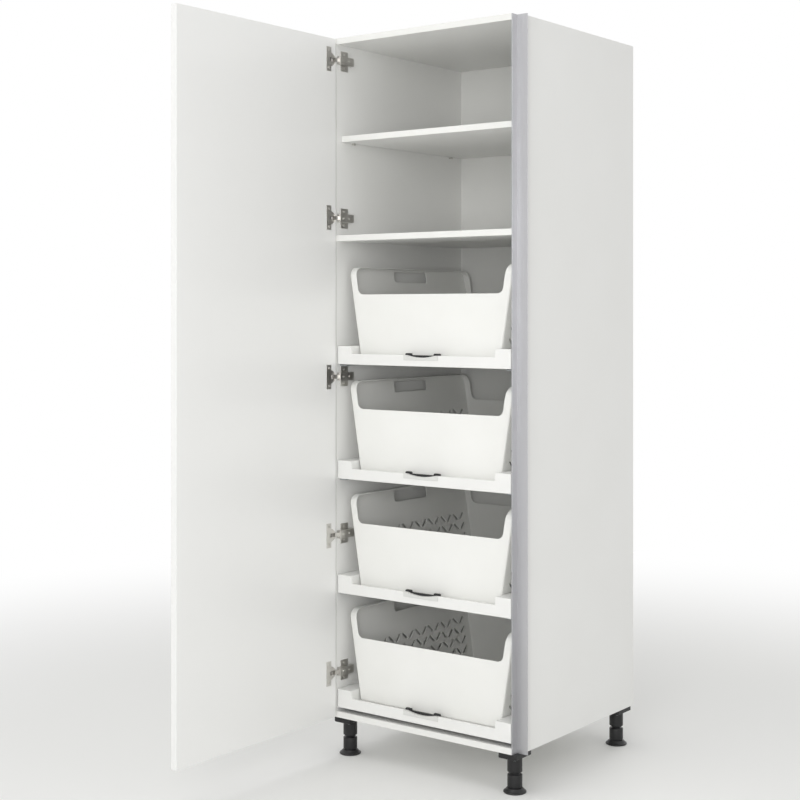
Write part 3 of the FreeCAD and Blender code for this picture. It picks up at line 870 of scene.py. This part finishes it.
    def rim(self, side: int) -> tuple[Points, Points]:
        """Turned-in rim of one side: a quarter circle and a band carried over both shoulders and the top.

        Args:
            side: 1 for the right side, -1 for the left one.

        Returns:
            Points and quads.
        """
        reach = self.half_y - self.shoulder
        front = arc((0.0, 0.0), 1.0, 180, 90, self.shoulder_steps)
        outward = np.concatenate([front, front[::-1] * np.array([-1, 1])])
        centre_y = np.repeat([-reach, reach], self.shoulder_steps + 1)
        roll = np.linspace(0.0, QUARTER_ANGLE, self.corner_steps + 1)
        inset = np.append(self.corner * (1 - np.sin(roll)), 0.0)
        inward = np.append(self.corner * (1 - np.cos(roll)), self.rim_mm * MM)
        radius = self.shoulder - inset[None, :]
        y = centre_y[:, None] + outward[:, :1] * radius
        z = self.ear_top + outward[:, 1:] * radius
        x = side * (self.half_x(z) - inward[None, :])
        points = np.stack([x, y + self.middle_y, z + self.base_z], axis=2)
        return points.reshape(-1, 3), grid_faces(*x.shape)

    def handles(self) -> list[Points]:
        """Outlines of the two hand holes on the strip: rectangles with round corners.

        Returns:
            Way round and height of each hole's points.
        """
        half_l, half_h = self.handle_l_mm * MM / 2, self.handle_h_mm * MM / 2
        outline = rounded_rectangle(half_l, half_h, self.handle_round_mm * MM)
        middle_z = self.height - self.turn_in - self.handle_below_mm * MM - half_h
        return [outline + np.array([middle, middle_z]) for middle in self.side_middles()]

    def slot_outlines(self) -> list[Points]:
        """Rows of slanted slots in both side walls.

        Each slot is a rectangle with half-round ends. Along a row the slots lean to and fro by one angle.

        Returns:
            Way round and height of each slot's points.
        """
        half_l, half_w = self.slot_l_mm * MM / 2, self.slot_w_mm * MM / 2
        stadium = rounded_rectangle(half_l, half_w, half_w, self.slot_steps)
        leans = np.radians(self.slot_lean) * np.where(np.arange(self.slots) % 2, 1, -1)
        turns = np.array([[np.cos(leans), -np.sin(leans)], [np.sin(leans), np.cos(leans)]])
        leaning = np.einsum("ijk,pj->kpi", turns, stadium)
        columns = (np.arange(self.slots) - (self.slots - 1) / 2) * self.slot_pitch_mm * MM
        rows = (self.slot_first_mm + np.arange(self.slot_rows) * self.slot_row_mm) * MM - self.turn_in
        return [outline + np.array([middle + column, row]) for middle in self.side_middles() for row in rows
                for outline, column in zip(leaning, columns)]

    def strip(self) -> tuple[Points, Points]:
        """The walls' strip, with lines along each bend so that it wraps evenly.

        Returns:
            Way round and height of each point, and triangles as point numbers.
        """
        foot = -self.turn_in * QUARTER_ANGLE
        edge = self.upper_edge()
        outline = np.concatenate([edge, [[self.marks[-1], foot], [0.0, foot]]])
        levels = np.linspace(foot, 0.0, self.foot_steps + 1)[1:]
        lines = [np.array([[0.0, up], [self.marks[-1], up]]) for up in levels]
        bend_starts = self.marks[[1, 3, 5, 7]]
        for start in bend_starts:
            for place in np.linspace(start, start + self.bend, self.corner_steps + 1):
                top = np.interp(place, edge[:, 0], edge[:, 1])
                lines.append(np.array([[place, foot], [place, top]]))
        return filled(outline, self.handles() + self.slot_outlines(), lines)

    def build(self) -> None:
        """Walls, rims and floor as one skin with the wall's thickness."""
        flat, triangles = self.strip()
        lowest = np.nonzero(flat[:, 1] < flat[:, 1].min() + MERGE)[0]
        floor = lowest[np.argsort(flat[lowest, 0])][:-1]
        corners, faces = self.wrap(flat), triangles.tolist() + [floor.tolist()]
        for side in (1, -1):
            points, quads = self.rim(side)
            faces += (quads + len(corners)).tolist()
            corners = np.concatenate([corners, points])
        name = "laundry_basket_%d" % self.number
        piece = new_piece(name, corners, faces)
        tidy_mesh(piece)
        wall = piece.modifiers.new("wall", "SOLIDIFY")
        wall.thickness = self.wall_mm * MM
        wall.offset = -1.0
        wall.use_even_offset = True
        ease_edges(piece, self.edge_ease_mm)
        dress(piece, MOULDED_BASKET, name, self.node)


@dataclass
class PullOut:
    """One tray with its catch, catch bar, rail screws and basket."""

    number: int
    frame_body: str = "carcass"
    tray_ease_mm: float = 0.8
    catch_ease_mm: float = 0.5
    rail_screw_mm: tuple[float, ...] = (40.0, 260.0, 500.0)
    rail_screw_up_mm: float = 26.0
    rail_sheet_mm: float = 1.5
    screw: ScrewHead = ScrewHead(3.2, 0.6)

    def rail_screws(self, facing: Facing) -> Points:
        """Screw seats along the flange of a cabinet rail.

        Args:
            facing: right for the rail on the left side panel, left for the one on the right.

        Returns:
            The seats, one row each.
        """
        low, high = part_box("runner_cabinet_rails_%d" % self.number)
        sheet = self.rail_sheet_mm * MM
        x = low.x + sheet if facing is Facing.RIGHT else high.x - sheet
        z = low.z + self.rail_screw_up_mm * MM
        return np.array([(x, low.y + along * MM, z) for along in self.rail_screw_mm])

    def build(self) -> None:
        """Tray, catch plate, catch bar, rail screws and basket."""
        body = "pull_out_%d" % self.number
        for kind, finish, ease in (("tray", MOULDED_TRAY, self.tray_ease_mm),
                                   ("tray_catch", CATCH_PLATE, self.catch_ease_mm),
                                   # The catch bar's black is partly painted shade of the finger slot over the
                                   # catch.
                                   ("catch_bar", BLACK_CATCH_AND_SLOT_SHADE, self.catch_ease_mm)):
            node = "%s_%d" % (kind, self.number)
            piece = solid_copy("moulded_" + node, node)
            ease_edges(piece, ease)
            dress(piece, finish, body, node)
        for facing in (Facing.RIGHT, Facing.LEFT):
            name = "rail_screws_%s_%d" % (facing.name.lower(), self.number)
            dress(self.screw.group(name, self.rail_screws(facing), facing), ZINC, self.frame_body)
        LaundryBasket(self.number).build()


# Feet


@dataclass
class LevellingFoot:
    """Turned foot: a flared base, a groove, a round-edged stem and a threaded spindle."""

    number: int
    base_round_mm: float = 2.5
    base_round_end: float = 60.0
    flare_top_mm: float = 12.0
    flare_r_mm: float = 20.5
    flare_power: float = 1.35
    groove_r_mm: float = 17.0
    groove_mm: tuple[float, float] = (12.2, 14.2)
    stem_round_mm: float = 2.0
    stem_r_mm: float = 19.0
    stem_top_mm: float = 46.0
    spindle_r_mm: float = 13.7
    thread_pitch_mm: float = 3.0
    thread_depth_mm: float = 0.9
    base_steps: int = 8
    flare_steps: int = 6
    stem_steps: int = 5
    thread_steps: int = 4

    def outline(self, base_r_mm: float, top_mm: float) -> Points:
        """Outline that is turned into the foot, from the floor up.

        The base's edge is an arc. Along the flare the radius shrinks evenly while the height grows with a
        power of the way. The stem's edges are quarter circles, and the thread cuts in by the size of a sine.

        Args:
            base_r_mm: radius of the base.
            top_mm: height of the spindle's end.

        Returns:
            Radius and height of each point, in millimetres.
        """
        lip = self.base_round_mm
        base = arc((base_r_mm - lip, lip), lip, -90, self.base_round_end, self.base_steps)
        share = np.linspace(0.0, 1.0, self.flare_steps + 1)[1:, None]
        reach = np.array([self.flare_r_mm, self.flare_top_mm]) - base[-1]
        flare = base[-1] + reach * np.concatenate([share, share ** self.flare_power], axis=1)
        low, high = self.groove_mm
        groove = [(self.groove_r_mm, low), (self.groove_r_mm, high)]
        soft = self.stem_round_mm
        lower = arc((self.stem_r_mm - soft, high + soft), soft, -90, 0, self.stem_steps)
        upper = arc((self.stem_r_mm - soft, self.stem_top_mm - soft), soft, 0, 90, self.stem_steps)
        height = np.arange(self.stem_top_mm, top_mm, self.thread_pitch_mm / self.thread_steps)
        wave = np.abs(np.sin(math.pi * (height - self.stem_top_mm) / self.thread_pitch_mm))
        thread = np.stack([self.spindle_r_mm - self.thread_depth_mm * wave, height], axis=1)
        return np.concatenate([base, flare, groove, lower, upper, thread, [(self.spindle_r_mm, top_mm)]])

    def build(self) -> None:
        """The foot in place of its solid."""
        node = "foot_adjuster_%d" % self.number
        low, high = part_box(node)
        outline = self.outline((high.x - low.x) / 2 / MM, high.z / MM) * MM
        centre = ((low.x + high.x) / 2, (low.y + high.y) / 2)
        piece = turned("levelling_foot_%d" % self.number, outline, centre)
        dress(piece, BLACK_FOOT, "foot_%d" % self.number, node)


@dataclass
class FootSockets:
    """Screwed plates with round tubes, one over each foot."""

    node: str = "foot_sockets"
    body: str = "carcass"
    plate_x_mm: float = 54.0
    plate_y_mm: float = 76.0
    plate_t_mm: float = 14.0
    plate_corner_mm: float = 6.0
    plate_ease_mm: float = 1.5
    tube_r_mm: float = 19.0
    tube_round_mm: float = 2.0
    bore_r_mm: float = 14.0
    bore_in_mm: float = 6.0
    screw_x_mm: float = 20.0
    screw_y_mm: float = 31.0
    screw: ScrewHead = ScrewHead(4.0, 1.6)
    corner_steps: int = 11
    tube_steps: int = 5
    ease_steps: int = 4

    def socket(self, name: str, x: float, y: float, low: float, high: float) -> Piece:
        """One skin from the bore's end down inside the tube, round its rim, over the plate and up its edge.

        Each ring is a rectangle with round corners. On the bore and the tube the corners take up all of it,
        and at the plate's edges it is drawn in along a quarter circle.

        Args:
            name: the piece's name.
            x: place of the tube's axis.
            y: place of the tube's axis.
            low: height of the tube's rim.
            high: height of the plate's upper face.

        Returns:
            The piece.
        """
        half_x, half_y, corner = (size * MM for size in (
            self.plate_x_mm / 2, self.plate_y_mm / 2, self.plate_corner_mm))
        outer, bore, soft, ease = (size * MM for size in (
            self.tube_r_mm, self.bore_r_mm, self.tube_round_mm, self.plate_ease_mm))
        plate_z = high - self.plate_t_mm * MM
        rim = arc((outer - soft, low + soft), soft, -90, 0, self.tube_steps)
        bore_end = (bore, plate_z + self.bore_in_mm * MM)
        tube = np.concatenate([[bore_end, (bore, low)], rim, [(outer, plate_z)]])
        edge = np.concatenate([arc((-ease, plate_z + ease), ease, -90, 0, self.ease_steps),
                               arc((-ease, high - ease), ease, 0, 90, self.ease_steps)])
        rows = [(radius, radius, radius, z) for radius, z in tube]
        rows += [(half_x + inset, half_y + inset, corner + inset, z) for inset, z in edge]
        rings = []
        for reach_x, reach_y, radius, z in rows:
            outline = rounded_rectangle(reach_x, reach_y, radius, self.corner_steps) + np.array([x, y])
            rings.append(np.column_stack([outline, np.full(len(outline), z)]))
        return lofted(name, np.stack(rings))

    def build(self) -> None:
        """Sockets and screws of all four feet."""
        low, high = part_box(self.node)
        plate_z = high.z - self.plate_t_mm * MM
        dx, dy = self.screw_x_mm * MM, self.screw_y_mm * MM
        seats = []
        for number in FEET:
            foot_low, foot_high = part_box("foot_adjuster_%d" % number)
            x, y = (foot_low.x + foot_high.x) / 2, (foot_low.y + foot_high.y) / 2
            piece = self.socket("foot_socket_%d" % number, x, y, low.z, high.z)
            dress(piece, BLACK_FOOT, self.body, self.node)
            seats += [(x + i * dx, y + j * dy, plate_z) for i in BOTH_WAYS for j in BOTH_WAYS]
        dress(self.screw.group("foot_plate_screws", np.array(seats), Facing.DOWN), ZINC, self.body)


# Solids


def dress_solids() -> None:
    """Gives every CAD node the finish of its slot, also those that a piece stands for later."""
    for row in frame["record"]["subparts"]:
        mesh = frame["nodes"][row["node"]].data
        finish = FINISH_OF_SLOT[row["material_slot"]]
        mesh.materials.clear()
        mesh.materials.append(finish.material())
        LOG.info("solid of %s in %s", row["node"], finish.name)


# Studio


@dataclass(frozen=True)
class Lamp:
    """Soft square lamp that looks at a target."""

    name: str
    place: Place
    target: Place
    size: float
    watts: float

    def build(self) -> None:
        """Puts the lamp into the scene."""
        data = bpy.data.lights.new(self.name, "AREA")
        data.size = self.size
        data.energy = self.watts
        lamp = bpy.data.objects.new(self.name, data)
        lamp.location = self.place
        look = Vector(self.target) - Vector(self.place)
        lamp.rotation_euler = look.to_track_quat("-Z", "Y").to_euler()
        bpy.context.scene.collection.objects.link(lamp)


@dataclass
class Studio:
    """Pale floor, white surroundings, soft lamps and the camera."""

    floor_half: float = 9.0
    floor_colour: str = "#F3F3F1"
    fade_from: float = 1.1
    fade_to: float = 3.4
    sky_colour: str = "#FFFFFF"
    sky_light: float = 0.6
    camera_place: Place = (2.29315, -3.38135, 1.2157)
    camera_tilt: float = 90.0
    camera_yaw: float = 37.437
    lens_mm: float = 66.23
    sensor_mm: float = 36.0
    shift_y: float = -0.113
    lamps: tuple[Lamp, ...] = (
        Lamp("front_lamp", (2.1, -4.3, 1.6), (0.0, 0.0, 1.0), size=2.2, watts=74.0),
        Lamp("right_lamp", (4.2, -1.0, 2.6), (0.0, 0.0, 1.0), size=2.0, watts=10.0),
        Lamp("upper_lamp", (-0.4, -2.2, 4.8), (0.0, -0.6, 0.0), size=3.0, watts=40.0),
        Lamp("rear_lamp", (-1.2, 4.8, 2.6), (0.0, 0.0, 1.0), size=2.6, watts=45.0))

    def seen(self, tree: bpy.types.NodeTree) -> bpy.types.NodeSocket:
        """Whether the eye, a reflection or a clear thing looks straight at the surface.

        Args:
            tree: the material's or world's node tree.

        Returns:
            An output that is one where it does, and zero elsewhere.
        """
        path = add_node(tree, "ShaderNodeLightPath").outputs
        first = add_node(tree, "ShaderNodeMath",
                         {0: path["Is Camera Ray"], 1: path["Is Glossy Ray"]}, operation="MAXIMUM")
        both = add_node(tree, "ShaderNodeMath",
                        {0: first.outputs[0], 1: path["Is Transmission Ray"]}, operation="MAXIMUM")
        return both.outputs[0]

    def floor(self) -> None:
        """Matt floor that keeps the shadow near the cabinet and fades to white further off."""
        half = self.floor_half
        corners = np.array([(-half, -half, 0.0), (half, -half, 0.0), (half, half, 0.0), (-half, half, 0.0)])
        floor = new_piece("floor", corners, [(0, 1, 2, 3)])
        material = bpy.data.materials.new("pale_matt_floor")
        material.use_nodes = True
        tree = material.node_tree
        tree.nodes.clear()
        place = add_node(tree, "ShaderNodeTexCoord").outputs["Object"]
        far = add_node(tree, "ShaderNodeVectorMath", {0: place}, operation="LENGTH")
        fade = add_node(tree, "ShaderNodeMapRange",
                        {"Value": far.outputs["Value"], "From Min": self.fade_from,
                         "From Max": self.fade_to}, interpolation_type="SMOOTHSTEP")
        share = add_node(tree, "ShaderNodeMath",
                         {0: fade.outputs[0], 1: self.seen(tree)}, operation="MULTIPLY")
        matt = add_node(tree, "ShaderNodeBsdfDiffuse", {"Color": linear(self.floor_colour)})
        white = add_node(tree, "ShaderNodeEmission", {"Strength": 1.0})
        mixed = add_node(tree, "ShaderNodeMixShader",
                         {0: share.outputs[0], 1: matt.outputs[0], 2: white.outputs[0]})
        add_node(tree, "ShaderNodeOutputMaterial", {"Surface": mixed.outputs[0]})
        floor.data.materials.append(material)

    def sky(self) -> None:
        """White to the eye, and a lower even light on the cabinet."""
        world = bpy.data.worlds.new("white_studio")
        bpy.context.scene.world = world
        world.use_nodes = True
        tree = world.node_tree
        tree.nodes.clear()
        strength = add_node(tree, "ShaderNodeMapRange",
                            {"Value": self.seen(tree), "To Min": self.sky_light, "To Max": 1.0})
        light = add_node(tree, "ShaderNodeBackground",
                         {"Color": linear(self.sky_colour), "Strength": strength.outputs[0]})
        add_node(tree, "ShaderNodeOutputWorld", {"Surface": light.outputs[0]})

    def camera(self) -> None:
        """Level camera at the photograph's place, with the picture shifted down."""
        data = bpy.data.cameras.new("camera")
        data.lens = self.lens_mm
        data.sensor_width = self.sensor_mm
        data.shift_y = self.shift_y
        camera = bpy.data.objects.new("camera", data)
        camera.location = self.camera_place
        camera.rotation_euler = (math.radians(self.camera_tilt), 0.0, math.radians(self.camera_yaw))
        bpy.context.scene.collection.objects.link(camera)
        bpy.context.scene.camera = camera

    def build(self) -> None:
        """Everything around the cabinet."""
        self.floor()
        self.sky()
        for lamp in self.lamps:
            lamp.build()
        self.camera()
        bpy.context.scene.view_settings.view_transform = "Standard"


def main() -> None:
    """Builds the cabinet's pieces in order, and the studio."""
    logging.basicConfig(level=logging.INFO, format="%(name)s: %(message)s")
    dress_solids()
    Carcass().build()
    GripStrip().build()
    Door().build()
    for number in PULL_OUTS:
        PullOut(number).build()
    for number in FEET:
        LevellingFoot(number).build()
    FootSockets().build()
    Studio().build()


if __name__ == "__main__":
    main()
